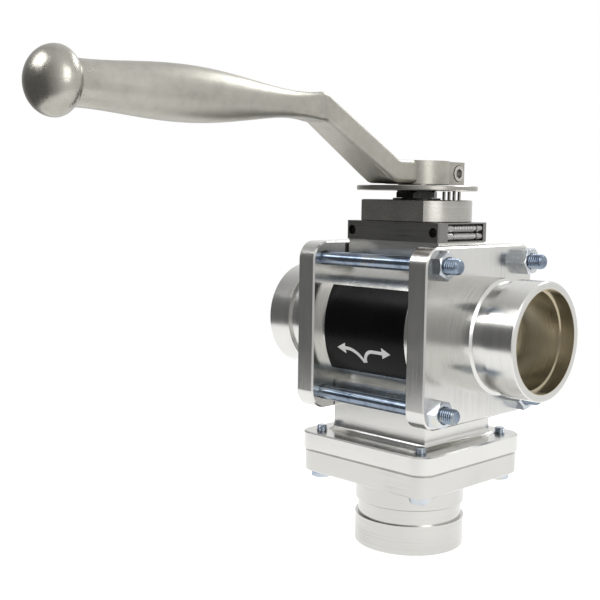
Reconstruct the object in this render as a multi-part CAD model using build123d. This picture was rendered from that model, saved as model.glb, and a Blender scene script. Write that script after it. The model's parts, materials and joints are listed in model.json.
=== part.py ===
from build123d import *
import os

os.makedirs("parts", exist_ok=True)

# Three way ball valve with grooved ends for 2 inch pipe. Sizes are in millimetres.
# The model is drawn about the ball's centre: X runs through the two side ports,
# Z is the stem's axis, and the lever points along -Y when both side ports are shut.
# Everything is lifted when it is saved, so the bottom port's end lies at Z = 0.

# Pipe ends
pipe_dia = 60.3
lip_length = 15.9
groove_width = 8.7
groove_dia = 57.2
groove_slope = 0.8
lip_bevel = 0.5
port_bore = 50.8
mouth_bore = 52.6
mouth_depth = 8.0

# Overall
face_to_face = 168.0
axis_height = 120.5

# Centre body
body_length = 65.0
body_dia = 84.0
cavity_dia = 76.0
neck_width = 56.6
neck_inset = 0.5
foot_fillet = 3.5
boss_inset = 1.0
boss_top = 47.2

# Square end plates and bottom flange
plate_side = 92.0
plate_thick = 12.0
plate_corner = 10.0
edge_break = 0.8
flange_side = 90.0
flange_top = 59.2
flange_thick = 10.0
lower_inset = 1.0
lower_thick = 12.0

# Ball and its passage
ball_dia = 73.0
passage_dia = 41.0
seat_gap = 0.3
seat_dia = 57.0
side_seat_start = 26.0
bottom_seat_start = 28.5
seat_recess = 3.0
sleeve_dia = 51.0
sleeve_lip_dia = 56.0
sleeve_lip_thick = 3.0
sleeve_top = 37.0

# Tie rods and their nuts
rod_dia = 8.0
rod_spacing = 74.0
rod_stand_out = 13.5
rod_left_out = 1.0
nut_flats = 13.0
nut_thick = 6.5
nut_bevel = 0.9
nut_round = 1.17

# Screws under the bottom flange
flange_screw_dia = 6.0
flange_screw_spacing = 70.0
flange_screw_out = 3.0
flange_head_flats = 10.0
flange_head_thick = 4.0

# Pad and bonnet above the body
pad_width = 42.0
pad_thick = 10.3
pad_hole_dia = 5.1
pad_hole_spacing = 56.0
pad_hole_depth = 6.5
pocket_length = 31.0
pocket_height = 8.9
pocket_depth = 4.6
pocket_shift = 2.0
plunger_dia = 4.2
bonnet_dia = 60.0
bonnet_thick = 11.7
bonnet_screw_dia = 5.0
bonnet_screw_head_dia = 8.5
bonnet_screw_depth = 7.5
bonnet_screw_x = 21.5
bonnet_screw_y = 11.0

# Stem, packing and gland
stem_dia = 16.0
stem_flats = 12.0
collar_dia = 23.6
collar_thick = 3.0
tang_thick = 8.0
tang_depth = 5.0
thrust_thick = 0.9
bush_dia = 20.0
packing_dia = 24.0
packing_rings = 3
gland_flange_dia = 26.0
gland_flange_thick = 0.9
gland_nut_flats = 20.5
gland_nut_thick = 3.9
gland_nut_bevel = 1.5

# Stop disc and stop pins
disc_dia = 65.4
disc_thick = 2.6
stop_radius = 20.3
stop_angle = 45.0
stop_pin_dia = 1.7
stop_pin_pitch = 2.75
stop_pin_bed = 4.0
stop_slot_width = 2.8
travel = 180.0

# Lever
hub_washer_dia = 21.0
hub_washer_thick = 0.9
hub_dia = 35.0
hub_thick = 12.4
clamp_width = 20.0
clamp_reach = 30.0
clamp_slot = 3.0
pinch_dia = 6.0
pinch_head_dia = 8.6
pinch_head_thick = 4.6
pinch_y = 23.8
arm_width = 21.6
arm_end_width = 16.4
arm_end_thick = 13.6
arm_top_bend_y = 27.5
arm_low_bend_y = 29.0
arm_taper_y = 35.0
arm_bend_fillet = 7.0
arm_edge_fillet = 2.5
grip_start = 82.0
grip_height = 29.7
waist_y = 112.0
waist_width = 17.2
waist_thick = 15.0
belly_y = 170.0
belly_dia = 24.4
neck_y = 200.0
neck_dia = 20.4
knob_y = 224.3
knob_dia = 28.4
knob_front = 11.7
knob_back = 9.5
knob_neck_dia = 19.6

# Label and gaskets
label_length = 55.0
label_height = 45.6
label_thick = 0.4
arrow_thick = 0.1
arrow_half = 18.5
arrow_line = 1.8
arrow_low = 16.6
arrow_high = 10.1
gasket_width = 2.6
gasket_thick = 1.5

# Clearances
running = 0.05
slip = 0.1
drill = 0.3

# Levels derived from the sizes above
body_end = body_length / 2
plate_face = body_end + plate_thick
port_end = face_to_face / 2
seam = flange_top + flange_thick
lower_face = seam + lower_thick
ball_r = ball_dia / 2
collar_base = ball_r + 0.5
collar_top = collar_base + collar_thick
shoulder = collar_top + slip + thrust_thick
pad_top = boss_top + pad_thick
bonnet_top = pad_top + bonnet_thick
gland_top = bonnet_top + gland_flange_thick
nut_base = gland_top + slip
nut_top = nut_base + gland_nut_thick
disc_top = nut_top + disc_thick
hub_base = disc_top + hub_washer_thick
hub_top = hub_base + hub_thick
hub_mid = (hub_base + hub_top) / 2
screw_seat = bonnet_top - bonnet_screw_dia - 0.2


def save(name, *solids):
    lifted = [Pos(0, 0, axis_height) * s for s in solids]
    shape = lifted[0] if len(lifted) == 1 else Compound(children=lifted)
    export_step(shape, f"parts/{name}.step")


def rod(dia, low, high):
    return Pos(0, 0, (low + high) / 2) * Cylinder(dia / 2, high - low)


def ring(outer, inner, low, high):
    return rod(outer, low, high) - rod(inner, low - 1, high + 1)


def hexagon(flats, low, high):
    prism = extrude(RegularPolygon(flats / 2, 6, major_radius=False), high - low)
    return Pos(0, 0, low) * prism


def hex_nut(flats, low, high, bevel):
    blank = rod(nut_round * flats, low, high)
    blank = chamfer(blank.edges().group_by(Axis.Z)[-1], bevel)
    return hexagon(flats, low, high) & blank


def square_plate(side, low, high, corner):
    plate = extrude(RectangleRounded(side, side, corner), high - low)
    rims = plate.edges().group_by(Axis.Z)
    plate = chamfer(rims[0] + rims[-1], edge_break)
    return Pos(0, 0, low) * plate


def to_x(shape):
    return Rot(0, 90, 0) * shape


def to_left(shape):
    return Rot(0, -90, 0) * shape


def to_bottom(shape):
    return Rot(180, 0, 0) * shape


def corners(x, y):
    return [(x, y), (-x, y), (-x, -y), (x, -y)]


def grooved_pipe(low, high):
    pipe = rod(pipe_dia, low, high)
    pipe = chamfer(pipe.edges().group_by(Axis.Z)[-1], lip_bevel)
    top = high - lip_length
    base = top - groove_width
    outside = pipe_dia / 2 + 1
    section = Polyline(
        (outside, base - groove_slope),
        (groove_dia / 2, base + groove_slope),
        (groove_dia / 2, top),
        (outside, top),
        close=True,
    )
    return pipe - revolve(make_face(Plane.XZ * section), Axis.Z)


def port_bores(low, high):
    return rod(port_bore, low, high + 1) + rod(mouth_bore, high - mouth_depth, high + 1)


def gasket_groove(inner, face):
    return ring(inner + 2 * gasket_width, inner, face, face + gasket_thick)


def gasket(inner, face):
    outer = inner + 2 * gasket_width
    return ring(outer - 2 * slip, inner + 2 * slip, face, face + gasket_thick)


# ---- Centre body ----
body_gasket_inner = cavity_dia + 1.3
bottom_gasket_inner = sleeve_lip_dia + 4.0
neck = Pos(0, 0, -(flange_top + body_dia / 4) / 2) * Box(
    body_length - 2 * neck_inset, neck_width, flange_top - body_dia / 4
)
flange = square_plate(flange_side, -seam, -flange_top, plate_corner)
lower_half = neck + flange
foot = lower_half.edges().filter_by_position(Axis.Z, -flange_top - 0.01, -flange_top + 0.01)
foot = foot.filter_by(lambda e: max(abs(e.center().X), abs(e.center().Y)) < body_end)
lower_half = fillet(foot, foot_fillet)
boss = Pos(0, 0, (boss_top + body_dia / 4) / 2) * Box(
    body_length - 2 * (neck_inset + boss_inset), pad_width - 2 * boss_inset, boss_top - body_dia / 4
)
body = to_x(rod(body_dia, -body_end, body_end)) + lower_half + boss
body -= to_x(rod(cavity_dia, -body_end - 1, body_end + 1))
body -= rod(sleeve_dia + 2 * slip, -seam - 1, 0)
body -= rod(sleeve_lip_dia + 2 * slip, -seam - 1, -seam + sleeve_lip_thick)
body -= rod(collar_dia + 2 * drill, 0, shoulder)
body -= rod(bush_dia + 2 * running, 0, boss_top + 1)
for x, y in corners(bonnet_screw_x, bonnet_screw_y):
    tapped = rod(bonnet_screw_dia + 2 * running, boss_top - bonnet_screw_depth - 0.5, boss_top + 1)
    body -= Pos(x, y, 0) * tapped
for x, y in corners(flange_screw_spacing / 2, flange_screw_spacing / 2):
    body -= Pos(x, y, 0) * rod(flange_screw_dia + 2 * running, -seam - 1, -flange_top + 1)
save("body", body)

# ---- End plates, each in one piece with its grooved pipe end ----
seat_back = body_end + seat_recess


def end_plate(hole_dia):
    plate = square_plate(plate_side, body_end, plate_face, plate_corner)
    plate += grooved_pipe(plate_face - 1, port_end)
    plate -= port_bores(body_end - 1, port_end)
    plate -= rod(seat_dia + 2 * slip, body_end - 1, seat_back)
    plate -= gasket_groove(body_gasket_inner, body_end)
    for x, y in corners(rod_spacing / 2, rod_spacing / 2):
        plate -= Pos(x, y, 0) * rod(hole_dia, body_end - 1, plate_face + 1)
    return plate


save("right_end_plate", to_x(end_plate(rod_dia + 2 * drill)))
save("left_end_plate", to_left(end_plate(rod_dia + 2 * running)))
body_gasket = gasket(body_gasket_inner, body_end)
save("body_gaskets", to_x(body_gasket), to_left(body_gasket))

# ---- Seats: each is hollowed to the ball with a small gap ----
near_ball = Sphere(ball_r + seat_gap)
side_seat = ring(seat_dia, passage_dia, side_seat_start, seat_back)
side_seat -= near_ball
save("side_seats", to_x(side_seat), to_left(side_seat))
bottom_seat = ring(sleeve_dia - 2 * slip, passage_dia, bottom_seat_start, sleeve_top)
bottom_seat -= near_ball
save("bottom_seat", to_bottom(bottom_seat))
sleeve = ring(sleeve_dia, passage_dia, sleeve_top, seam)
sleeve += ring(sleeve_lip_dia, passage_dia, seam - sleeve_lip_thick, seam)
save("seat_sleeve", to_bottom(sleeve))

# ---- Bottom flange with its grooved pipe end ----
lower = square_plate(
    flange_side - 2 * lower_inset, seam, lower_face, plate_corner - lower_inset
)
lower += grooved_pipe(lower_face - 1, axis_height)
lower -= port_bores(seam - 1, axis_height)
lower -= gasket_groove(bottom_gasket_inner, seam)
for x, y in corners(flange_screw_spacing / 2, flange_screw_spacing / 2):
    lower -= Pos(x, y, 0) * rod(flange_screw_dia + 2 * drill, seam - 1, lower_face + 1)
save("bottom_flange", to_bottom(lower))
save("bottom_gasket", to_bottom(gasket(bottom_gasket_inner, seam)))
flange_screw = rod(flange_screw_dia, flange_top - flange_screw_out, lower_face)
flange_screw = chamfer(flange_screw.edges().group_by(Axis.Z)[0], 0.6)
flange_screw += hexagon(flange_head_flats, lower_face, lower_face + flange_head_thick)
flange_screws = [
    to_bottom(Pos(x, y, 0) * flange_screw)
    for x, y in corners(flange_screw_spacing / 2, flange_screw_spacing / 2)
]
save("flange_screws", *flange_screws)

# ---- Tie rods, screwed into the left plate, and the nuts on the right plate ----
tie_rod = rod(rod_dia, -plate_face - rod_left_out, plate_face + rod_stand_out)
tie_rod = chamfer(tie_rod.edges().group_by(Axis.Z)[0], 0.8)
tie_rod = chamfer(tie_rod.edges().group_by(Axis.Z)[-1], 0.8)
nut = hex_nut(nut_flats, plate_face, plate_face + nut_thick, nut_bevel)
nut -= rod(rod_dia + 2 * slip, plate_face - 1, plate_face + nut_thick + 1)
rod_places = corners(rod_spacing / 2, rod_spacing / 2)
save("tie_rods", *[to_x(Pos(x, y, 0) * tie_rod) for x, y in rod_places])
save("tie_rod_nuts", *[to_x(Pos(x, y, 0) * nut) for x, y in rod_places])

# ---- Pad: side holes in front, a pocket with two spring plungers at the right ----
pad_length = body_length - 2 * neck_inset
pad_mid = (boss_top + pad_top) / 2
pad = Pos(0, 0, pad_mid) * Box(pad_length, pad_width, pad_thick)
pad = chamfer(pad.edges().filter_by(Axis.Z), edge_break)
pad -= rod(packing_dia + 2 * running, boss_top - 1, pad_top + 1)
for x, y in corners(bonnet_screw_x, bonnet_screw_y):
    pad -= Pos(x, y, 0) * rod(bonnet_screw_dia + 2 * drill, boss_top - 1, pad_top + 1)
for x in (-pad_hole_spacing / 2, pad_hole_spacing / 2):
    side_hole = Rot(90, 0, 0) * rod(pad_hole_dia, pad_width / 2 - pad_hole_depth, pad_width / 2 + 1)
    pad -= Pos(x, 0, pad_mid) * side_hole
pocket_floor = pad_length / 2 - pocket_depth
pad -= Pos(pocket_floor + pocket_depth, pocket_shift, pad_mid) * Box(
    2 * pocket_depth, pocket_length, pocket_height
)
save("pad", pad)
plunger = rod(plunger_dia, -pocket_length / 2 + slip, pocket_length / 2 - slip)
plunger -= ring(plunger_dia + 1, plunger_dia - 0.8, pocket_length / 2 - 6, pocket_length / 2 - 5)
plunger -= ring(plunger_dia + 1, plunger_dia - 0.8, 5 - pocket_length / 2, 6 - pocket_length / 2)
plunger_x = pocket_floor + plunger_dia / 2 + slip
plunger_z = (plunger_dia + slip) / 2
plungers = [
    Pos(plunger_x, pocket_shift, pad_mid + side * plunger_z) * Rot(90, 0, 0) * plunger
    for side in (-1, 1)
]
save("spring_plungers", *plungers)

# ---- Bonnet with flats, its screws and its stop pins ----
bonnet = rod(bonnet_dia, pad_top, bonnet_top)
bonnet &= Pos(0, 0, (pad_top + bonnet_top) / 2) * Box(bonnet_dia + 2, pad_width, bonnet_thick + 2)
rims = bonnet.edges().group_by(Axis.Z)
bonnet = chamfer(rims[0] + rims[-1], 0.5)
bonnet -= rod(packing_dia + 2 * running, pad_top - 1, bonnet_top + 1)
for x, y in corners(bonnet_screw_x, bonnet_screw_y):
    bonnet -= Pos(x, y, 0) * rod(bonnet_screw_dia + 2 * drill, pad_top - 1, bonnet_top + 1)
    bonnet -= Pos(x, y, 0) * rod(bonnet_screw_head_dia + 2 * drill, screw_seat, bonnet_top + 1)
bonnet_screw = rod(bonnet_screw_dia, boss_top - bonnet_screw_depth, screw_seat + 1)
bonnet_screw += rod(bonnet_screw_head_dia, screw_seat, screw_seat + bonnet_screw_dia)
socket = hexagon(0.8 * bonnet_screw_dia, screw_seat + 2, bonnet_top + 1)
bonnet_screw -= socket
save(
    "bonnet_screws",
    *[Pos(x, y, 0) * bonnet_screw for x, y in corners(bonnet_screw_x, bonnet_screw_y)],
)
pins = []
for step in (-2, -1, 0, 1):
    place = Rot(0, 0, stop_angle) * Pos(stop_radius + step * stop_pin_pitch, 0, 0)
    top = disc_top if step == 0 else nut_top - drill
    pins.append(place * rod(stop_pin_dia, bonnet_top - stop_pin_bed + slip, top))
    bonnet -= place * rod(stop_pin_dia + 2 * running, bonnet_top - stop_pin_bed, bonnet_top + 1)
save("stop_pins", *pins)
save("bonnet", bonnet)

# ---- Parts that seal round the stem ----
save("thrust_washer", ring(collar_dia, stem_dia + 2 * drill, shoulder - thrust_thick, shoulder))
save("stem_bush", ring(bush_dia, stem_dia + 2 * running, shoulder, boss_top))
packing_step = pad_thick / packing_rings
packing = [
    ring(
        packing_dia,
        stem_dia + 2 * running,
        boss_top + i * packing_step,
        boss_top + (i + 1) * packing_step - slip,
    )
    for i in range(packing_rings)
]
save("stem_packing", *packing)
follower = ring(packing_dia, stem_dia + 2 * running, pad_top, bonnet_top + slip)
follower += ring(gland_flange_dia, stem_dia + 2 * running, bonnet_top, gland_top)
save("gland_follower", follower)

# ---- Ball with its elbow passage, open at the bottom and towards the lever ----
ball = Sphere(ball_r)
ball -= rod(passage_dia, -ball_r - 1, 0)
ball -= Rot(90, 0, 0) * rod(passage_dia, 0, ball_r + 1)
ball -= Sphere(passage_dia / 2)
slot_floor = ball_r - tang_depth
ball -= Pos(0, 0, slot_floor + tang_depth) * Box(tang_thick + 2 * slip, ball_dia, 2 * tang_depth)
save("ball", ball)

# ---- Stem: tang, collar, round shaft and flatted top ----
stem = rod(stem_dia, collar_base, hub_top - 0.8)
stem = chamfer(stem.edges().group_by(Axis.Z)[-1], 0.8)
flat_height = hub_top - nut_top
for side in (-1, 1):
    flat = Box(stem_dia, 2 * stem_dia, flat_height + 2)
    stem -= Pos(side * (stem_flats + stem_dia) / 2, 0, nut_top + flat_height / 2 + 1) * flat
stem += rod(collar_dia, collar_base, collar_top)
tang = Pos(0, 0, (slot_floor + slip + collar_base) / 2) * Box(
    tang_thick, collar_dia, collar_base - slot_floor - slip
)
stem += tang & rod(collar_dia, slot_floor, collar_base)
save("stem", stem)


def stem_hole(low, high):
    hole = rod(stem_dia + 2 * slip, low, high)
    return hole & Pos(0, 0, (low + high) / 2) * Box(stem_flats + 2 * slip, 2 * stem_dia, high - low)


# ---- Gland nut, stop disc and the washer under the lever ----
gland_nut = hex_nut(gland_nut_flats, nut_base, nut_top, gland_nut_bevel)
gland_nut -= rod(stem_dia + 2 * slip, nut_base - 1, nut_top + 1)
save("gland_nut", gland_nut)
disc = rod(disc_dia, nut_top, disc_top)
rims = disc.edges().group_by(Axis.Z)
disc = chamfer(rims[0] + rims[-1], 0.4)
disc -= stem_hole(nut_top - 1, disc_top + 1)
slot_path = CenterArc((0, 0), stop_radius, stop_angle - travel / 2, travel)
slot = Pos(0, 0, nut_top - 1) * extrude(trace(slot_path, stop_slot_width), disc_thick + 2)
disc -= slot
for end in (-1, 1):
    place = Rot(0, 0, stop_angle + end * travel / 2) * Pos(stop_radius, 0, 0)
    disc -= place * rod(stop_slot_width, nut_top - 1, disc_top + 1)
save("stop_disc", disc)
save("hub_washer", ring(hub_washer_dia, stem_dia + 2 * slip, disc_top, hub_base))

# ---- Lever: clamp hub, bent arm, bellied grip and ball knob ----
grip_axis = hub_mid + grip_height
arm_top = grip_axis + arm_end_thick / 2
arm_low = grip_axis - arm_end_thick / 2
side_view = Polyline(
    (0, hub_base),
    (0, hub_top),
    (-arm_top_bend_y, hub_top),
    (-grip_start + 2.5, arm_top),
    (-grip_start, arm_top),
    (-grip_start, arm_low),
    (-grip_start + 3, arm_low),
    (-arm_low_bend_y, hub_base),
    close=True,
)
side_face = make_face(Plane.YZ * side_view)
bends = side_face.vertices().filter_by(lambda v: -grip_start + 1 < v.Y < -1)
side_face = fillet(bends, arm_bend_fillet)
arm = extrude(side_face, arm_width, both=True)
plan_view = Polyline(
    (arm_width / 2, 0),
    (arm_width / 2, -arm_taper_y),
    (arm_end_width / 2, -grip_start),
    (-arm_end_width / 2, -grip_start),
    (-arm_width / 2, -arm_taper_y),
    (-arm_width / 2, 0),
    close=True,
)
plan = extrude(Pos(0, 0, hub_base - 1) * make_face(plan_view), arm_top - hub_base + 2)
arm &= plan
long_edges = arm.edges().filter_by(lambda e: -grip_start + 1 < e.center().Y < -2)
long_edges = long_edges.filter_by(lambda e: abs(e.center().X) > 1)
arm = fillet(long_edges, arm_edge_fillet)


def grip_section(y, width, thick, corner):
    plane = Plane((0, -y, grip_axis), x_dir=(1, 0, 0), z_dir=(0, -1, 0))
    return plane * RectangleRounded(width, thick, corner)


round_share = 0.49
sections = [
    arm.faces().sort_by(Axis.Y)[0],
    grip_section(waist_y, waist_width, waist_thick, 0.42 * waist_thick),
    grip_section(belly_y, belly_dia, belly_dia, round_share * belly_dia),
    grip_section(neck_y, neck_dia, neck_dia, round_share * neck_dia),
    grip_section(knob_y - knob_back / 2, knob_neck_dia, knob_neck_dia, round_share * knob_neck_dia),
]
grip = loft(sections)
knob_outline = EllipticalCenterArc((0, 0), knob_dia / 2, knob_back, 0, arc_size=90)
knob_outline += EllipticalCenterArc((0, 0), knob_dia / 2, knob_front, 270, arc_size=90)
knob_outline += Line((0, knob_back), (0, -knob_front))
knob = revolve(make_face(knob_outline), Axis.Y)
knob = Pos(0, -knob_y, grip_axis) * knob
clamp_low = hub_dia / 4
clamp = Pos(0, (clamp_low + clamp_reach) / 2, hub_mid) * Box(
    clamp_width, clamp_reach - clamp_low, hub_thick
)
clamp = chamfer(clamp.edges().group_by(Axis.Y)[-1].filter_by(Axis.Z), 1.0)
lever = rod(hub_dia, hub_base, hub_top) + clamp + arm + grip + knob
lever -= stem_hole(hub_base - 1, hub_top + 1)
lever -= Pos(0, clamp_reach / 2, hub_mid) * Box(clamp_slot, clamp_reach + 1, hub_thick + 2)
pinch_place = Pos(0, pinch_y, hub_mid)
head_seat = clamp_width / 2 - pinch_head_thick
lever -= pinch_place * to_x(rod(pinch_dia + 2 * slip, -clamp_width, clamp_width))
lever -= pinch_place * to_x(rod(pinch_head_dia + 2 * drill, head_seat, clamp_width))
save("lever", lever)
pinch_bolt = rod(pinch_dia, -clamp_width / 2 + 0.5, head_seat + 1)
pinch_bolt += rod(pinch_head_dia, head_seat, clamp_width / 2 + 0.4)
pinch_bolt -= hexagon(0.8 * pinch_dia, clamp_width / 2 - 2.6, clamp_width)
save("pinch_bolt", pinch_place * to_x(pinch_bolt))

# ---- Label wrapped on the front of the body, and its two way flow arrow ----
label_window = Pos(0, -body_dia / 2, 0) * Box(label_length, body_dia, label_height)
label_out = body_dia + 2 * label_thick
label = to_x(ring(label_out, body_dia, -label_length / 2, label_length / 2)) & label_window
save("label", label)
head_half = 1.6 * arrow_line
head_x = arrow_half - 2 * head_half
tail_x = arrow_line / 4


def arrow_branch(side, stroke):
    head = Polyline(
        (side * head_x, -arrow_high - head_half),
        (side * arrow_half, -arrow_high),
        (side * head_x, -arrow_high + head_half),
        close=True,
    )
    return trace(stroke, arrow_line) + make_face(head)


left_stroke = ThreePointArc(
    (-tail_x, -arrow_low), (-0.32 * head_x, -arrow_high - 2.4), (-head_x - 1, -arrow_high)
)
right_bend = (0.45 * head_x, -arrow_high)
right_stroke = ThreePointArc((tail_x, -arrow_low), (0.14 * head_x, -arrow_high - 1.9), right_bend)
right_stroke += Line(right_bend, (head_x + 1, -arrow_high))
arrow_face = arrow_branch(-1, left_stroke) + arrow_branch(1, right_stroke)
arrow_prism = extrude(Plane.XZ * arrow_face, body_dia)
arrow = to_x(ring(label_out + 2 * arrow_thick, label_out, -arrow_half - 1, arrow_half + 1))
save("flow_arrow", arrow & arrow_prism)
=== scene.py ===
import json
from math import cos, pi, radians, sin, tau

import bmesh
import bpy
from mathutils import Matrix, Vector


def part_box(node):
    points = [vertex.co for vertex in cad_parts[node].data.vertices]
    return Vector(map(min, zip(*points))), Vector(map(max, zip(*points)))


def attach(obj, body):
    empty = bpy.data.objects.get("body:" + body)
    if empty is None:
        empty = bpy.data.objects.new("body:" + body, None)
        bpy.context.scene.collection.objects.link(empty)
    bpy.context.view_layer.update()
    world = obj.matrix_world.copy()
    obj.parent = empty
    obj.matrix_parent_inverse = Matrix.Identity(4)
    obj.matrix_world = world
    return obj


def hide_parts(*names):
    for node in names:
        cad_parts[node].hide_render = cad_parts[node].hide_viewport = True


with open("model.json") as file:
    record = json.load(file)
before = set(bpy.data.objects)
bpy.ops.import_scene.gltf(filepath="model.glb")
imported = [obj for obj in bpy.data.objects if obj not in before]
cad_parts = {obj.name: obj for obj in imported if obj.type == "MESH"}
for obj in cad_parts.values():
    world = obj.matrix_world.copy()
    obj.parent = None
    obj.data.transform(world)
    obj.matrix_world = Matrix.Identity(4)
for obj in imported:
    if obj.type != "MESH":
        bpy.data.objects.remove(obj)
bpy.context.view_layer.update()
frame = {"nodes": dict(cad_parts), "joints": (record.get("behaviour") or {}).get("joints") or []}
nodes = frame["nodes"]
scene = bpy.context.scene

# Everything is in metres, in the frame of the CAD.
AXIS_HEIGHT = frame["joints"][0]["pos_m"][2]

# Tie rods
ROD_RADIUS = 0.004
ROD_PITCH = 0.00125
ROD_SPACING = 0.074
ROD_LEFT_THREAD = 0.009
ROD_RIGHT_THREAD = 0.0215
ROD_CHAMFER = 0.0009

# Their nuts
NUT_FLATS = 0.013
NUT_BORE = ROD_RADIUS + 0.00012
NUT_SINK_WIDTH = 0.0007
NUT_SINK_DEPTH = 0.0006
NUT_FIRST_TURN = 7
NUT_TURN_STEP = 23

# Flange screws
SCREW_RADIUS = 0.003
SCREW_PITCH = 0.001
SCREW_SPACING = 0.070
SCREW_THREAD = 0.012
SCREW_CHAMFER = 0.0007
SCREW_SUNK = 0.0005
SCREW_HEAD_FLATS = 0.010
SCREW_HEAD_HEIGHT = 0.004
SCREW_TURN_STEP = 17

# Threads: the groove's depth as a share of the pitch, and half its width and its fades in turns
THREAD_SHARE = 0.61
GROOVE_HALF = 0.44
FADE_IN = 0.6
FADE_OUT = 0.4
STEPS_PER_TURN = 8
SEGMENTS = 48

# Hexagons, whose corners are turned off at a shallow angle
CROWN = 0.0013
CROWN_SLOPE = 0.55
CROWN_START = 0.96
CROWN_LEVELS = (0.0, 0.12, 0.24, 0.36, 0.5, 0.65, 0.8, 1.0)
HEX_SEGMENTS = 72

# Spring plungers: a bevelled end cap, a groove behind it, then the coil
PLUNGER_RADIUS = 0.0021
PLUNGER_PITCH = 0.0014
PLUNGER_BEVEL = 0.0006
PLUNGER_CAP = 0.0048
PLUNGER_COIL_START = 0.0062
PLUNGER_GROOVE = 0.0005
PLUNGER_COIL_DEPTH = 0.00065
PLUNGER_STEPS = 260

SHARP_EDGE = radians(32)

# ---- Camera ----
CAMERA_PLACE = Vector((0.35482, -0.4406, 0.19045))
CAMERA_AZIMUTH = radians(45.226)
CAMERA_DOWN = radians(5.753)
CAMERA_ROLL = radians(0.799)
CAMERA_LENS = 61.53
CAMERA_SENSOR = 36.0


def make_camera():
    data = bpy.data.cameras.new("camera")
    data.lens = CAMERA_LENS
    data.sensor_width = CAMERA_SENSOR
    data.clip_start = 0.01
    camera = bpy.data.objects.new("camera", data)
    scene.collection.objects.link(camera)
    back = Vector((
        sin(CAMERA_AZIMUTH) * cos(CAMERA_DOWN),
        -cos(CAMERA_AZIMUTH) * cos(CAMERA_DOWN),
        sin(CAMERA_DOWN),
    ))
    level = Vector((cos(CAMERA_AZIMUTH), sin(CAMERA_AZIMUTH), 0))
    upright = back.cross(level)
    right = level * cos(CAMERA_ROLL) + upright * sin(CAMERA_ROLL)
    up = upright * cos(CAMERA_ROLL) - level * sin(CAMERA_ROLL)
    turn = Matrix((right, up, back)).transposed()
    camera.matrix_world = Matrix.Translation(CAMERA_PLACE) @ turn.to_4x4()
    scene.camera = camera


# ---- Materials ----
CENTRE = (0, 0, AXIS_HEIGHT)
X_AXIS, Y_AXIS, Z_AXIS = range(3)

WARM_ALUMINIUM = (0.68, 0.675, 0.65)
FLANGE_ALUMINIUM = (0.60, 0.595, 0.57)
WARM_BORE = (0.72, 0.67, 0.56)
STAINLESS = (0.43, 0.415, 0.37)
BLACK_STEEL = (0.022, 0.022, 0.021)
WORN_STEEL = (0.10, 0.098, 0.092)

# Cutter marks per metre along X, Y and Z
BODY_MARKS = (40, 1800, 2000)
UPRIGHT_MARKS = (2200, 2200, 30)
LEVEL_MARKS = (30, 2200, 2200)
PAD_MARKS = (35, 1700, 1900)

# Where one look gives way to another, and over what distance
BODY_GRIP = 0.0425
GRIP_EDGE = 0.0004
BORE = 0.0266
BORE_EDGE = 0.0003
KNOB_LENGTH = 0.024
SHINE_FADE = 0.006


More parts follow.
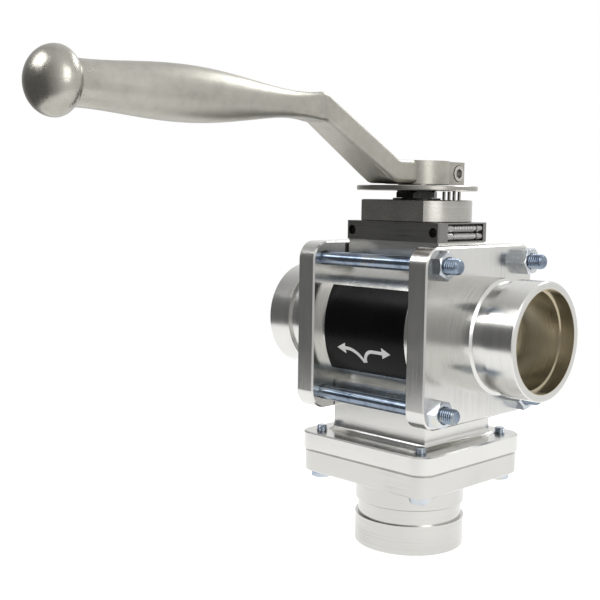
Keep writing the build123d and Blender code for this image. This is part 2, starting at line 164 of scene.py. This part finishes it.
class Finish:
    """A material's node tree, with short calls for what the finishes here share."""

    def __init__(self, name, metallic=1.0, roughness=0.35):
        self.material = bpy.data.materials.new(name)
        self.material.use_nodes = True
        self.tree = self.material.node_tree
        self.shader = self.tree.nodes["Principled BSDF"]
        self.shader.inputs["Metallic"].default_value = metallic
        self.shader.inputs["Roughness"].default_value = roughness
        self.place = self.node("ShaderNodeTexCoord").outputs["Object"]
        self.normal = None

    def node(self, kind, **settings):
        made = self.tree.nodes.new(kind)
        for key, value in settings.items():
            setattr(made, key, value)
        return made

    def feed(self, socket, value):
        if isinstance(value, bpy.types.NodeSocket):
            self.tree.links.new(value, socket)
        else:
            socket.default_value = value

    def math(self, operation, *values):
        made = self.node("ShaderNodeMath", operation=operation)
        for socket, value in zip(made.inputs, values):
            self.feed(socket, value)
        return made.outputs[0]

    def stretched(self, scale, place=None):
        made = self.node("ShaderNodeMapping", vector_type="TEXTURE")
        made.inputs["Scale"].default_value = [1 / s for s in scale]
        self.feed(made.inputs["Vector"], place or self.place)
        return made.outputs[0]

    def noise(self, place, scale=1.0, detail=3.0, rough=0.5):
        made = self.node("ShaderNodeTexNoise")
        made.inputs["Scale"].default_value = scale
        made.inputs["Detail"].default_value = detail
        made.inputs["Roughness"].default_value = rough
        self.feed(made.inputs["Vector"], place)
        return made.outputs["Fac"]

    def turned(self, axis, centre=(0, 0, AXIS_HEIGHT)):
        """Lathe coordinates: place along the axis, distance from it, and a slow wander."""
        moved = self.node("ShaderNodeVectorMath", operation="SUBTRACT")
        self.feed(moved.inputs[0], self.place)
        moved.inputs[1].default_value = centre
        split = self.node("ShaderNodeSeparateXYZ")
        self.feed(split.inputs[0], moved.outputs[0])
        along = split.outputs[axis]
        across = [split.outputs[i] for i in range(3) if i != axis]
        squares = [self.math("MULTIPLY", a, a) for a in across]
        radius = self.math("SQRT", self.math("ADD", *squares))
        joined = self.node("ShaderNodeCombineXYZ")
        self.feed(joined.inputs[0], along)
        self.feed(joined.inputs[1], radius)
        self.feed(joined.inputs[2], self.math("MULTIPLY", self.noise(self.place, 40.0), 0.02))
        return joined.outputs[0], radius

    def ramp(self, value, *stops):
        made = self.node("ShaderNodeValToRGB")
        self.feed(made.inputs[0], value)
        elements = made.color_ramp.elements
        while len(elements) < len(stops):
            elements.new(0.5)
        for element, (place, colour) in zip(elements, stops):
            element.position = place
            element.color = (*colour, 1)
        return made.outputs[0]

    def blend(self, *parts):
        """The sum of values, each times its share."""
        (first, share), *others = parts
        total = self.math("MULTIPLY", first, share)
        for value, share in others:
            total = self.math("ADD", total, self.math("MULTIPLY", value, share))
        return total

    def span(self, value, low, high, low_to, high_to):
        made = self.node("ShaderNodeMapRange")
        for socket, number in zip(made.inputs, (value, low, high, low_to, high_to)):
            self.feed(socket, number)
        return made.outputs[0]

    def mix(self, share, first, second):
        made = self.node("ShaderNodeMix", data_type="RGBA")
        self.feed(made.inputs[0], share)
        self.feed(made.inputs[6], first)
        self.feed(made.inputs[7], second)
        return made.outputs[2]

    def colour(self, value):
        self.feed(self.shader.inputs["Base Color"], value)

    def rough(self, value):
        self.feed(self.shader.inputs["Roughness"], value)

    def bump(self, height, distance, strength=1.0):
        made = self.node("ShaderNodeBump")
        made.inputs["Distance"].default_value = distance
        made.inputs["Strength"].default_value = strength
        self.feed(made.inputs["Height"], height)
        if self.normal:
            self.feed(made.inputs["Normal"], self.normal)
        self.normal = made.outputs[0]
        self.feed(self.shader.inputs["Normal"], self.normal)


def tinted(colour, share):
    return tuple(c * share for c in colour)


def machined(name, colour, axis, streak, grip=0.0310, bore=0.0):
    """Satin machined metal: lathe marks out to the grip's radius, and cutter marks past it.

    Within the bore's radius the metal is warmer."""
    finish = Finish(name)
    lathe, radius = finish.turned(axis)
    rings = finish.noise(finish.stretched((2600, 2600, 60), lathe), 1.0, 4.0)
    lines = finish.noise(finish.stretched(streak), 1.0, 4.0)
    flat_share = finish.span(radius, grip, grip + GRIP_EDGE, 0.0, 1.0)
    marks = finish.mix(flat_share, rings, lines)
    patches = finish.noise(finish.place, 38.0, 4.0, 0.55)
    both = finish.blend((marks, 0.55), (patches, 0.45))
    skin = finish.ramp(
        both, (0.28, tinted(colour, 0.80)), (0.48, tinted(colour, 0.97)), (0.72, colour)
    )
    inside = finish.span(radius, bore, bore + BORE_EDGE, 1.0, 0.0)
    raw = finish.ramp(both, (0.30, tinted(WARM_BORE, 0.75)), (0.70, WARM_BORE))
    finish.colour(finish.mix(inside, skin, raw))
    finish.rough(finish.span(both, 0.3, 0.7, 0.15, 0.28))
    finish.bump(marks, 0.00003, 0.35)
    finish.bump(patches, 0.0001, 0.2)
    return finish.material


def cast(name, colour, shiny_end):
    """Bead blasted casting: fine grain, faint hollows, and smoother below shiny_end along Y."""
    finish = Finish(name)
    grain = finish.noise(finish.place, 1500.0, 3.0, 0.6)
    skin = finish.noise(finish.place, 210.0, 4.0, 0.6)
    patches = finish.noise(finish.place, 26.0, 4.0, 0.55)
    flow = finish.noise(finish.stretched((90, 14, 90)), 1.0, 4.0, 0.6)
    both = finish.blend((skin, 0.4), (patches, 0.35), (flow, 0.25))
    finish.colour(finish.ramp(
        both,
        (0.30, tinted(colour, 0.72)),
        (0.47, tinted(colour, 0.92)),
        (0.58, colour),
        (0.74, tinted(colour, 1.14)),
    ))
    split = finish.node("ShaderNodeSeparateXYZ")
    finish.feed(split.inputs[0], finish.place)
    shine = finish.span(split.outputs[1], shiny_end + SHINE_FADE, shiny_end, 0.0, 1.0)
    rough = finish.span(grain, 0.3, 0.7, 0.33, 0.47)
    finish.rough(finish.math("SUBTRACT", rough, finish.math("MULTIPLY", shine, 0.10)))
    finish.bump(patches, 0.0006, 0.35)
    finish.bump(skin, 0.00012, 0.5)
    finish.bump(grain, 0.00003, 0.6)
    return finish.material


def brushed(name, colour, streak, smooth, coarse):
    """Rolled or ground metal with long fine scratches one way."""
    finish = Finish(name)
    lines = finish.noise(finish.stretched(streak), 1.0, 5.0, 0.6)
    patches = finish.noise(finish.place, 45.0, 4.0, 0.6)
    both = finish.blend((lines, 0.6), (patches, 0.4))
    finish.colour(finish.ramp(
        both, (0.30, tinted(colour, 0.70)), (0.50, colour), (0.72, tinted(colour, 1.16))
    ))
    finish.rough(finish.span(both, 0.3, 0.7, smooth, coarse))
    finish.bump(lines, 0.00003, 0.6)
    return finish.material


def turned_metal(name, colour, axis, centre, smooth=0.2, coarse=0.34):
    """Metal turned on a lathe, with fine rings round its axis."""
    finish = Finish(name)
    lathe, _ = finish.turned(axis, centre)
    rings = finish.noise(finish.stretched((3200, 3200, 80), lathe), 1.0, 4.0)
    patches = finish.noise(finish.place, 90.0, 4.0, 0.55)
    both = finish.blend((rings, 0.6), (patches, 0.4))
    finish.colour(finish.ramp(
        both, (0.30, tinted(colour, 0.74)), (0.50, colour), (0.72, tinted(colour, 1.12))
    ))
    finish.rough(finish.span(both, 0.3, 0.7, smooth, coarse))
    finish.bump(rings, 0.00003, 0.5)
    return finish.material


def zinc(name, blue, pale, gold):
    """Bright zinc plate: blue passivation with a faint gold cast in places."""
    finish = Finish(name)
    tint = finish.noise(finish.place, 85.0, 4.0, 0.6)
    grain = finish.noise(finish.place, 900.0, 3.0, 0.6)
    finish.colour(finish.ramp(
        tint, (0.32, blue), (0.47, tinted(pale, 0.92)), (0.58, pale), (0.70, gold)
    ))
    finish.rough(finish.span(grain, 0.3, 0.7, 0.14, 0.28))
    finish.bump(grain, 0.00002, 0.5)
    return finish.material


def black_oxide(name):
    """Blackened steel, worn paler in places."""
    finish = Finish(name, metallic=0.7)
    grain = finish.noise(finish.place, 700.0, 4.0, 0.6)
    wear = finish.noise(finish.place, 140.0, 5.0, 0.7)
    finish.colour(finish.ramp(
        wear, (0.35, tinted(BLACK_STEEL, 0.7)), (0.60, BLACK_STEEL), (0.78, WORN_STEEL)
    ))
    finish.rough(finish.span(grain, 0.3, 0.7, 0.26, 0.44))
    finish.bump(grain, 0.00004, 0.6)
    return finish.material


def plastic(name, colour, dark_share, smooth, coarse, grain_scale, grain_depth, shine=0.5):
    """Moulded or printed polymer with a faint grain."""
    finish = Finish(name, metallic=0.0)
    grain = finish.noise(finish.place, grain_scale, 3.0, 0.6)
    patches = finish.noise(finish.place, 60.0, 4.0, 0.5)
    both = finish.blend((grain, 0.4), (patches, 0.6))
    finish.colour(finish.ramp(both, (0.3, tinted(colour, dark_share)), (0.7, colour)))
    finish.rough(finish.span(both, 0.3, 0.7, smooth, coarse))
    finish.bump(grain, grain_depth, 0.5)
    finish.shader.inputs["Specular IOR Level"].default_value = shine
    return finish.material


def rubber(name):
    return plastic(name, (0.020, 0.020, 0.021), 0.6, 0.5, 0.7, 900, 0.00004)


def ptfe(name, colour=(0.86, 0.85, 0.80)):
    return plastic(name, colour, 0.85, 0.35, 0.5, 500, 0.00003)


def make_finishes():
    """The material of every CAD node, by the node's name."""
    knob_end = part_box("lever")[0].y + KNOB_LENGTH
    pinch_centre = (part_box("pinch_bolt")[0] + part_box("pinch_bolt")[1]) / 2
    made = {
        "body": machined("body_aluminium", WARM_ALUMINIUM, X_AXIS, BODY_MARKS, grip=BODY_GRIP),
        "bottom_flange": machined(
            "flange_aluminium", FLANGE_ALUMINIUM, Z_AXIS, LEVEL_MARKS, bore=BORE
        ),
        "seat_sleeve": turned_metal("sleeve_aluminium", (0.70, 0.69, 0.67), Z_AXIS, CENTRE),
        "body_gaskets": rubber("seal_rubber"),
        "bottom_gasket": rubber("seal_rubber_low"),
        "side_seats": ptfe("seat_ptfe"),
        "bottom_seat": ptfe("seat_ptfe_low"),
        "thrust_washer": ptfe("washer_ptfe", (0.84, 0.83, 0.79)),
        "stem_packing": ptfe("packing_ptfe", (0.86, 0.85, 0.82)),
        "stem_bush": turned_metal("bush_bronze", (0.60, 0.40, 0.20), Z_AXIS, CENTRE),
        "pad": brushed("pad_metal", (0.24, 0.236, 0.225), PAD_MARKS, 0.24, 0.40),
        "bonnet": turned_metal("bonnet_steel", (0.42, 0.41, 0.38), Z_AXIS, CENTRE, 0.2, 0.32),
        "bonnet_screws": black_oxide("black_screws"),
        "stop_pins": turned_metal("pin_steel", (0.22, 0.21, 0.19), Z_AXIS, CENTRE),
        "gland_follower": black_oxide("gland_black"),
        "gland_nut": black_oxide("gland_nut_black"),
        "ball": turned_metal("ball_steel", (0.66, 0.65, 0.62), Z_AXIS, CENTRE, 0.06, 0.14),
        "stem": turned_metal("stem_steel", (0.52, 0.51, 0.48), Z_AXIS, CENTRE),
        "stop_disc": turned_metal("disc_steel", (0.34, 0.33, 0.30), Z_AXIS, CENTRE, 0.22, 0.34),
        "hub_washer": turned_metal("washer_steel", STAINLESS, Z_AXIS, CENTRE),
        "lever": cast("lever_cast", STAINLESS, knob_end),
        "pinch_bolt": turned_metal("bolt_steel", (0.50, 0.49, 0.46), X_AXIS, pinch_centre),
        "label": plastic(
            "label_black", (0.003, 0.003, 0.0035), 0.6, 0.22, 0.32, 1400, 0.00001, shine=0.12
        ),
        "flow_arrow": plastic("arrow_white", (0.97, 0.97, 0.96), 0.96, 0.4, 0.5, 1800, 0.00001),
        # The rods' zinc colours are painted darker than the nuts' and screws' zinc: painted shade
        # standing in for the dark room they reflect.
        "tie_rods": zinc("zinc_rods", (0.10, 0.13, 0.19), (0.24, 0.29, 0.36), (0.32, 0.33, 0.31)),
        "tie_rod_nuts": zinc(
            "zinc_nuts", (0.36, 0.41, 0.47), (0.58, 0.61, 0.64), (0.64, 0.63, 0.56)
        ),
        "flange_screws": zinc(
            "zinc_screws", (0.32, 0.38, 0.47), (0.54, 0.58, 0.63), (0.60, 0.59, 0.52)
        ),
        "spring_plungers": turned_metal(
            "plunger_steel", (0.42, 0.41, 0.40), Y_AXIS, CENTRE, 0.2, 0.36
        ),
    }
    for side in ("right", "left"):
        made[f"{side}_end_plate"] = machined(
            f"plate_aluminium_{side}", WARM_ALUMINIUM, X_AXIS, UPRIGHT_MARKS, bore=BORE
        )
    return made


# ---- Pieces made here ----
def skin_rows(bm, rows, loop):
    """Joins rows of points into a tube. Its ends are joined if loop is True, and capped if not."""
    made = [[bm.verts.new(point) for point in row] for row in rows]
    count = len(made[0])
    following = made[1:] + made[:1] if loop else made[1:]
    for low, high in zip(made, following):
        for i in range(count):
            j = (i + 1) % count
            bm.faces.new((low[i], low[j], high[j], high[i]))
    if not loop:
        bm.faces.new(made[0][::-1])
        bm.faces.new(made[-1])


def threaded_rows(low, high, radius, pitch, spans, chamfer):
    """Rows of a rod along Z, with a helical thread over each (start, end) of the spans.

    The thread fades in from a span's start, and fades out at the rod's high end."""
    depth = THREAD_SHARE * pitch
    places = {low, low + chamfer, high - chamfer, high}
    for start, end in spans:
        count = max(2, round((end - start) / pitch * STEPS_PER_TURN))
        places |= {start + (end - start) * i / count for i in range(count + 1)}
    rows = []
    for z in sorted(places):
        row = []
        for i in range(SEGMENTS):
            angle = tau * i / SEGMENTS
            r = radius
            for start, end in spans:
                if start <= z <= end:
                    phase = (z / pitch - angle / tau) % 1.0
                    groove = max(0.0, 1 - abs(phase - 0.5) / GROOVE_HALF)
                    fade = min(
                        1.0, (z - start) / (FADE_IN * pitch), (high - z) / (FADE_OUT * pitch)
                    )
                    r -= depth * groove * max(0.0, fade)
            edge = min(z - low, high - z)
            r = min(r, radius - chamfer + edge)
            row.append((r * cos(angle), r * sin(angle), z))
        rows.append(row)
    return rows


def hex_radius(angle, flats):
    """How far the hexagon's side is from its centre, in this direction."""
    turn = (angle + pi / 6) % (pi / 3) - pi / 6
    return flats / 2 / cos(turn)


def hex_rows(low, high, flats, crown_low, crown_high):
    """Rows of a hexagon along Z, crowned at either end."""
    inner = CROWN_START * flats / 2
    places = [low + CROWN * s for s in CROWN_LEVELS] if crown_low else [low]
    places += [high - CROWN * s for s in CROWN_LEVELS[::-1]] if crown_high else [high]
    rows = []
    for z in places:
        row = []
        for i in range(HEX_SEGMENTS):
            angle = tau * i / HEX_SEGMENTS
            r = hex_radius(angle, flats)
            if crown_low:
                r = min(r, inner + (z - low) / CROWN_SLOPE)
            if crown_high:
                r = min(r, inner + (high - z) / CROWN_SLOPE)
            row.append((r * cos(angle), r * sin(angle), z))
        rows.append(row)
    return rows


def finished(name, bm, body, material, node):
    """Turns the mesh into a piece that rides the body and takes the CAD node's place."""
    bmesh.ops.recalc_face_normals(bm, faces=bm.faces)
    mesh = bpy.data.meshes.new(name)
    bm.to_mesh(mesh)
    bm.free()
    for polygon in mesh.polygons:
        polygon.use_smooth = True
    mesh.set_sharp_from_angle(angle=SHARP_EDGE)
    piece = bpy.data.objects.new(name, mesh)
    scene.collection.objects.link(piece)
    mesh.materials.append(material)
    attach(piece, body)
    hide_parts(node)


def placed(rows, matrix):
    return [[matrix @ Vector(point) for point in row] for row in rows]


def corner_places(spacing):
    """The corners of a square round the origin, anticlockwise."""
    half = spacing / 2
    return [(half, half), (-half, half), (-half, -half), (half, -half)]


ALONG_X = Matrix.Rotation(pi / 2, 4, "Y")


def make_tie_rods(material):
    low, high = (corner.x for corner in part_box("tie_rods"))
    threads = [(low, low + ROD_LEFT_THREAD), (high - ROD_RIGHT_THREAD, high)]
    rows = threaded_rows(low, high, ROD_RADIUS, ROD_PITCH, threads, ROD_CHAMFER)
    bm = bmesh.new()
    for y, z in corner_places(ROD_SPACING):
        place = Matrix.Translation((0, y, AXIS_HEIGHT + z)) @ ALONG_X
        skin_rows(bm, placed(rows, place), False)
    finished("tie_rods_threaded", bm, "housing", material, "tie_rods")


def nut_rows(low, high):
    """The outside of a nut, then its bore with a countersink at each end."""
    def circle(radius, z):
        angles = [tau * i / HEX_SEGMENTS for i in range(HEX_SEGMENTS)]
        return [(radius * cos(angle), radius * sin(angle), z) for angle in angles]

    return hex_rows(low, high, NUT_FLATS, False, True) + [
        circle(NUT_BORE + NUT_SINK_WIDTH, high),
        circle(NUT_BORE, high - NUT_SINK_DEPTH),
        circle(NUT_BORE, low + NUT_SINK_DEPTH),
        circle(NUT_BORE + NUT_SINK_WIDTH, low),
    ]


def make_nuts(material):
    low, high = (corner.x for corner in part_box("tie_rod_nuts"))
    bm = bmesh.new()
    for step, (y, z) in enumerate(corner_places(ROD_SPACING)):
        turn = Matrix.Rotation(radians(NUT_FIRST_TURN + NUT_TURN_STEP * step), 4, "X")
        place = Matrix.Translation((0, y, AXIS_HEIGHT + z)) @ turn @ ALONG_X
        skin_rows(bm, placed(nut_rows(low, high), place), True)
    finished("tie_rod_nuts_crowned", bm, "housing", material, "tie_rod_nuts")


def make_flange_screws(material):
    low, high = (corner.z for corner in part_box("flange_screws"))
    shank_low = low + SCREW_HEAD_HEIGHT
    shank = threaded_rows(
        shank_low - SCREW_SUNK, high, SCREW_RADIUS, SCREW_PITCH,
        [(high - SCREW_THREAD, high)], SCREW_CHAMFER,
    )
    head = hex_rows(low, shank_low, SCREW_HEAD_FLATS, True, False)
    bm = bmesh.new()
    for step, (x, y) in enumerate(corner_places(SCREW_SPACING)):
        turn = Matrix.Rotation(radians(SCREW_TURN_STEP * step), 4, "Z")
        place = Matrix.Translation((x, y, 0)) @ turn
        skin_rows(bm, placed(shank, place), False)
        skin_rows(bm, placed(head, place), False)
    finished("flange_screws_threaded", bm, "housing", material, "flange_screws")


def plunger_radius(edge, y, angle):
    """The plunger's radius where the nearer end is this far away."""
    if edge < PLUNGER_BEVEL:
        return PLUNGER_RADIUS - (PLUNGER_BEVEL - edge)
    if edge >= PLUNGER_COIL_START:
        coil = abs(sin(pi * (y / PLUNGER_PITCH - angle / tau)))
        return PLUNGER_RADIUS - PLUNGER_COIL_DEPTH * (1 - coil)
    return PLUNGER_RADIUS - (PLUNGER_GROOVE if edge > PLUNGER_CAP else 0)


def make_plungers(material):
    """Two springs with plain end caps, lying in the pad's pocket."""
    low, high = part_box("spring_plungers")
    middle_x = (low.x + high.x) / 2
    centre_z = (low.z + high.z) / 2
    rise = (high.z - low.z) / 2 - PLUNGER_RADIUS
    bm = bmesh.new()
    for side in (-1, 1):
        rows = []
        for i in range(PLUNGER_STEPS + 1):
            y = low.y + (high.y - low.y) * i / PLUNGER_STEPS
            edge = min(y - low.y, high.y - y)
            row = []
            for j in range(SEGMENTS):
                angle = tau * j / SEGMENTS
                r = plunger_radius(edge, y, angle)
                z = centre_z + side * rise + r * sin(angle)
                row.append((middle_x + r * cos(angle), y, z))
            rows.append(row)
        skin_rows(bm, rows, False)
    finished("spring_plungers_coiled", bm, "housing", material, "spring_plungers")


# ---- Studio ----
# The backdrop stands behind the object, and fades into a dim room behind the camera.
BACKDROP_DIRECTION = (0.55, 0.80, 0.24)
BACKDROP_EDGE = 0.25
BACKDROP_LEVEL = 0.95
ROOM_EDGE = -0.75
ROOM_LEVEL = 0.15
ROOM_LIGHT = 0.80
FLOOR_RADIUS = 0.42
FLOOR_DROP = 0.0002
FLOOR_COLOUR = (0.42, 0.42, 0.42, 1)
FLOOR_GLOW = 0.84
LAMP_TARGET = (0, 0, 0.12)


def white_when_seen(tree, plain, seen):
    """A socket that is seen for camera, glossy and transmission rays, and plain for the rest."""
    path = tree.nodes.new("ShaderNodeLightPath")
    first = tree.nodes.new("ShaderNodeMath")
    first.operation = "MAXIMUM"
    tree.links.new(path.outputs["Is Camera Ray"], first.inputs[0])
    tree.links.new(path.outputs["Is Glossy Ray"], first.inputs[1])
    second = tree.nodes.new("ShaderNodeMath")
    second.operation = "MAXIMUM"
    tree.links.new(first.outputs[0], second.inputs[0])
    tree.links.new(path.outputs["Is Transmission Ray"], second.inputs[1])
    span = tree.nodes.new("ShaderNodeMapRange")
    tree.links.new(second.outputs[0], span.inputs["Value"])
    span.inputs["To Min"].default_value = plain
    span.inputs["To Max"].default_value = seen
    return span.outputs[0]


def make_world():
    """White to the camera. All else sees the backdrop on one side and the room on the other."""
    world = bpy.data.worlds.new("studio")
    scene.world = world
    world.use_nodes = True
    tree = world.node_tree
    background = tree.nodes["Background"]
    direction = tree.nodes.new("ShaderNodeTexCoord").outputs["Generated"]
    facing = tree.nodes.new("ShaderNodeVectorMath")
    facing.operation = "DOT_PRODUCT"
    facing.inputs[1].default_value = BACKDROP_DIRECTION
    tree.links.new(direction, facing.inputs[0])
    room = tree.nodes.new("ShaderNodeMapRange")
    tree.links.new(facing.outputs["Value"], room.inputs["Value"])
    room.inputs["From Min"].default_value = ROOM_EDGE
    room.inputs["From Max"].default_value = BACKDROP_EDGE
    room.inputs["To Min"].default_value = ROOM_LEVEL
    room.inputs["To Max"].default_value = BACKDROP_LEVEL
    path = tree.nodes.new("ShaderNodeLightPath")
    seen = tree.nodes.new("ShaderNodeMix")
    seen.data_type = "RGBA"
    tree.links.new(path.outputs["Is Camera Ray"], seen.inputs[0])
    tree.links.new(room.outputs[0], seen.inputs[6])
    seen.inputs[7].default_value = (1, 1, 1, 1)
    tree.links.new(seen.outputs[2], background.inputs["Color"])
    tree.links.new(white_when_seen(tree, ROOM_LIGHT, 1.0), background.inputs["Strength"])


def make_floor():
    """A pale disc that holds the shadow and otherwise shows as white."""
    mesh = bpy.data.meshes.new("floor")
    bm = bmesh.new()
    bmesh.ops.create_circle(bm, cap_ends=True, segments=96, radius=FLOOR_RADIUS)
    bm.to_mesh(mesh)
    bm.free()
    floor = bpy.data.objects.new("floor", mesh)
    scene.collection.objects.link(floor)
    floor.location.z = -FLOOR_DROP
    material = bpy.data.materials.new("floor_pale")
    material.use_nodes = True
    tree = material.node_tree
    tree.nodes.remove(tree.nodes["Principled BSDF"])
    diffuse = tree.nodes.new("ShaderNodeBsdfDiffuse")
    diffuse.inputs["Color"].default_value = FLOOR_COLOUR
    glow = tree.nodes.new("ShaderNodeEmission")
    tree.links.new(white_when_seen(tree, 0.0, FLOOR_GLOW), glow.inputs["Strength"])
    both = tree.nodes.new("ShaderNodeAddShader")
    tree.links.new(diffuse.outputs[0], both.inputs[0])
    tree.links.new(glow.outputs[0], both.inputs[1])
    tree.links.new(both.outputs[0], tree.nodes["Material Output"].inputs["Surface"])
    mesh.materials.append(material)


def make_lamp(name, place, size, power):
    """An oblong lamp that faces the middle of the object."""
    data = bpy.data.lights.new(name, "AREA")
    data.shape = "RECTANGLE"
    data.size, data.size_y = size
    data.energy = power
    lamp = bpy.data.objects.new(name, data)
    scene.collection.objects.link(lamp)
    lamp.location = place
    facing = Vector(LAMP_TARGET) - Vector(place)
    lamp.rotation_euler = facing.to_track_quat("-Z", "Y").to_euler()


scene.view_settings.view_transform = "Standard"
make_camera()
make_world()
make_floor()
make_lamp("key", (-0.55, -0.95, 1.05), (0.8, 0.6), 7.0)
make_lamp("fill", (1.15, -0.25, 0.60), (0.6, 0.9), 4.5)
make_lamp("rear", (0.0, 1.0, 1.1), (0.8, 0.4), 6.5)

finishes = make_finishes()
for node_name, node_object in nodes.items():
    node_object.data.materials.clear()
    node_object.data.materials.append(finishes[node_name])
make_tie_rods(finishes["tie_rods"])
make_nuts(finishes["tie_rod_nuts"])
make_flange_screws(finishes["flange_screws"])
make_plungers(finishes["spring_plungers"])
